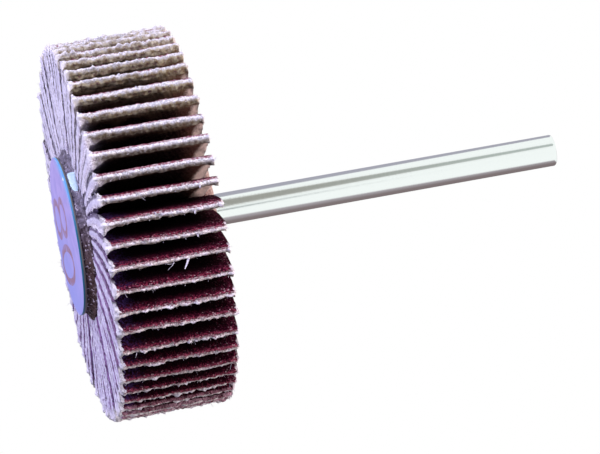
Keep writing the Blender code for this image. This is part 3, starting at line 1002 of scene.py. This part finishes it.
def card():
    """Pale blue-violet card with a two-digit number printed on it and a teal cut edge."""
    finish = Finish("card", roughness=0.5)
    mix = finish.mix
    mottle = finish.noise(0.5)
    fine = finish.noise(9.0)
    violet = mix(mottle.rise(0.3, 0.7), (0.42, 0.36, 0.82), (0.56, 0.46, 0.92))
    blue = mix(mottle, (0.34, 0.36, 0.88), (0.40, 0.43, 0.94))
    low_side = (finish.x * 0.8 + finish.y * 0.5 + mottle * 3.0).rise(-3.0, 9.0)
    color = mix(low_side, violet, blue)
    glow = finish.radius.rise(6.4, 7.7) * (1.0 - (finish.x + finish.y * 0.3).rise(-2.5, 2.5))
    glow = glow * (1.0 - finish.y.rise(-4.5, 0.5)) * (1.0 - finish.x.rise(-5.0, -2.0) * 0.8)
    color = mix(glow * 0.85, color, (0.24, 0.52, 1.0))

    def ring(x_middle, y_middle, x_half, y_half):
        """A printed oval line, from how far a point lies from the oval."""
        x_part = (finish.x - x_middle) / x_half
        y_part = (finish.y - y_middle) / y_half
        reach = (x_part * x_part + y_part * y_part).math("SQRT")
        slope_x, slope_y = x_part / x_half, y_part / y_half
        slope = (slope_x * slope_x + slope_y * slope_y).math("SQRT").most(0.01)
        off = (reach - 1.0).size() * reach / slope
        return 1.0 - off.rise(DIGIT_STROKE / 2 - 0.05, DIGIT_STROKE / 2 + 0.05)

    half_wide = (DIGIT_WIDTH - DIGIT_STROKE) / 2
    half_tall = (DIGIT_HEIGHT - DIGIT_STROKE) / 2
    eight = ring(DIGIT_MIDDLES[0], DIGIT_RISE + half_tall / 2, half_wide, half_tall / 2)
    eight = eight.most(ring(DIGIT_MIDDLES[0], DIGIT_RISE - half_tall / 2, half_wide, half_tall / 2))
    nought = ring(DIGIT_MIDDLES[1], DIGIT_RISE, half_wide, half_tall)
    faded = finish.noise(0.8).rise(0.35, 0.6) * 0.5 + 0.4
    on_front = 1.0 - finish.z.rise(0.02, 0.05)
    color = mix(eight.most(nought) * on_front * faded, color, (0.36, 0.17, 0.22))

    # One small pale fleck, and the cut edge, teal with a painted highlight towards -X
    fleck = ((finish.x + 5.5) / 0.17).math("POWER", 2.0) + ((finish.y + 5.4) / 0.7).math("POWER", 2.0)
    color = mix(1.0 - fleck.rise(0.6, 1.2), color, (0.92, 0.98, 1.0))
    side = finish.radius.rise(LABEL_RADIUS / MM - 0.06, LABEL_RADIUS / MM - 0.02)
    # Painted highlight: the teal edge turns bright blue towards -X
    lit = (finish.x + mottle * 2.0).rise(-4.0, 1.5)
    edge_color = mix(lit, (0.16, 0.45, 0.85), (0.012, 0.17, 0.28))
    edge_color = mix(finish.z.rise(0.14, 0.2), edge_color, (0.17, 0.16, 0.14))
    color = mix(side, color, edge_color)
    finish.set("Base Color", color)
    finish.bump(fine, 0.01)
    return finish


def label_piece():
    """The round card, with its edge just broken."""
    low, high = LABEL_LOW[2], LABEL_HIGH[2]
    outline = [(0.0, low)]
    outline += [(LABEL_RADIUS * share, low) for share in (0.25, 0.5, 0.75, 0.9, 0.97)]
    outline += [(LABEL_RADIUS - LABEL_EDGE, low), (LABEL_RADIUS, low + LABEL_EDGE)]
    outline += [(LABEL_RADIUS, (low + high) / 2), (LABEL_RADIUS, high - LABEL_EDGE)]
    outline += [(LABEL_RADIUS - LABEL_EDGE, high), (0.0, high)]
    points, faces = turned_mesh(outline, ROUND_SIDES)
    piece = add_piece("label_card", points, faces, card(), "label")
    piece.data.set_sharp_from_angle(angle=SHARP_ANGLE)


def crumb_piece():
    """A pale crumb of card, stuck on the resin beside the label."""
    finish = Finish("crumb", roughness=0.6)
    fine = finish.noise(5.0)
    finish.set("Base Color", finish.mix(fine, (0.42, 0.66, 0.90), (0.80, 0.94, 1.0)))
    finish.bump(fine, 0.05)
    outward = Vector((math.cos(CRUMB_TURN), math.sin(CRUMB_TURN), 0.0))
    along = Vector((-math.sin(CRUMB_TURN), math.cos(CRUMB_TURN), 0.0))
    up = Vector((0.0, 0.0, 1.0))
    middle = outward * (HUB_RADIUS - CRUMB_INSET * MM) + up * (LABEL_HIGH[2] + CRUMB_RISE * MM)
    long, wide, deep = CRUMB_HALF
    rows, columns = CRUMB_GRID
    points = []
    for side in (1.0, -1.0):
        for row in range(rows):
            for column in range(columns):
                u = row / (rows - 1) * 2 - 1
                v = column / (columns - 1) * 2 - 1
                rough = 0.05 * math.sin(row * 2.3 + column * 1.1)
                rough = rough + 0.04 * math.sin(row * 0.9 - column * 2.9)
                thick = deep * (1 - u ** 4) * (1 - v ** 4) + rough * 0.4 * (1 - abs(u)) * (1 - abs(v))
                blunt = 0.6 if u > 0.0 else 0.2
                narrow = (1.0 - 0.3 * max(0.0, u)) * (1 - blunt * u ** 8) + rough * 1.5
                reach = long * u * (1 - 0.04 * v * v + rough * v)
                offset = along * reach + outward * side * thick + up * wide * v * narrow
                points.append(middle + offset * MM)
    index = np.arange(rows * columns).reshape(rows, columns)
    quads = grid_quads(index)
    border = [*index[0, :-1], *index[:-1, -1], *index[-1, :0:-1], *index[:0:-1, 0]]
    seam = [(after, here, here + index.size, after + index.size)
            for here, after in zip(border, border[1:] + border[:1])]
    faces = [*quads, *(quads[:, ::-1] + index.size), *seam]
    faces = [tuple(int(corner) for corner in face) for face in faces]
    add_piece("hub_crumb", points, faces, finish, "hub")


camera()
bpy.context.scene.view_settings.view_transform = "Standard"
surroundings()
floor()
for settings in LAMPS:
    lamp(*settings)

sheet_finish = abrasive_cloth()
for number, node in enumerate(FLAPS):
    flap_piece(node, sheet_finish, FIRST_SEED + SEED_STEP * number)
shank_piece()
hub_piece()
crumb_piece()
label_piece()
